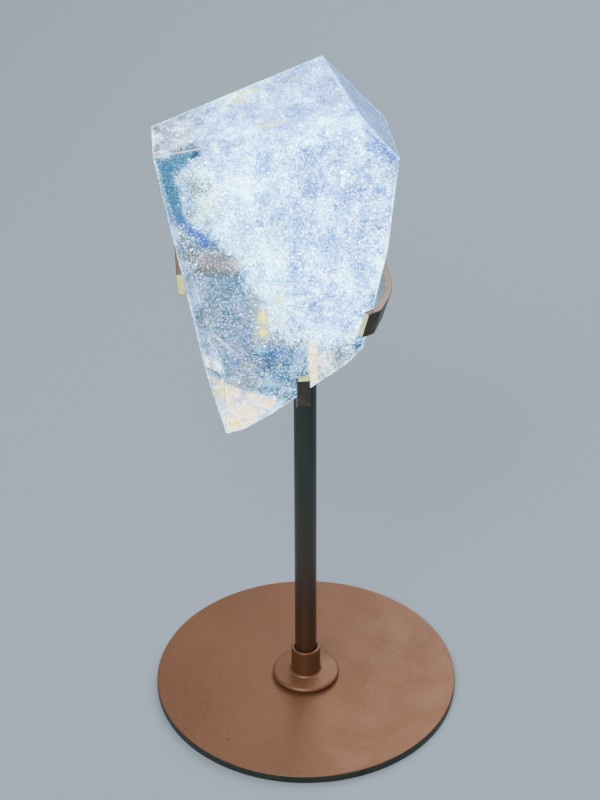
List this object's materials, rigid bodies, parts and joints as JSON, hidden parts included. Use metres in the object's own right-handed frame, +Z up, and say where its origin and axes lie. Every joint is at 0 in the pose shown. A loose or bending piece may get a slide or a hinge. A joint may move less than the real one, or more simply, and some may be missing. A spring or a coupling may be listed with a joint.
{
  "type": "clear quartz freeform",
  "caption": "Faceted clear quartz freeform resting in the bent flat claws of a metal stand with a round base plate, collar and upright rod.",
  "frame": {"origin": "centre of the base plate's underside", "axes": "+Z up along the rod, -Y towards the stone's large front facet, +X to the stone's right seen from the front"},
  "size_m": [0.14, 0.14, 0.3021],
  "materials": {
    "copper_paint": "satin copper-brown paint with darker mottling",
    "dark_bronze": "satin dark bronze paint",
    "bronze_bar": "satin bronze, brighter on the cut ends",
    "quartz": "polished flat facets, clear with inner veils"
  },
  "bodies": {
    "root": {"base_plate": "copper_paint", "collar": "copper_paint", "rod": "dark_bronze", "cradle_bar": "bronze_bar", "claw_band": "bronze_bar", "quartz": "quartz"}
  },
  "joints": []
}
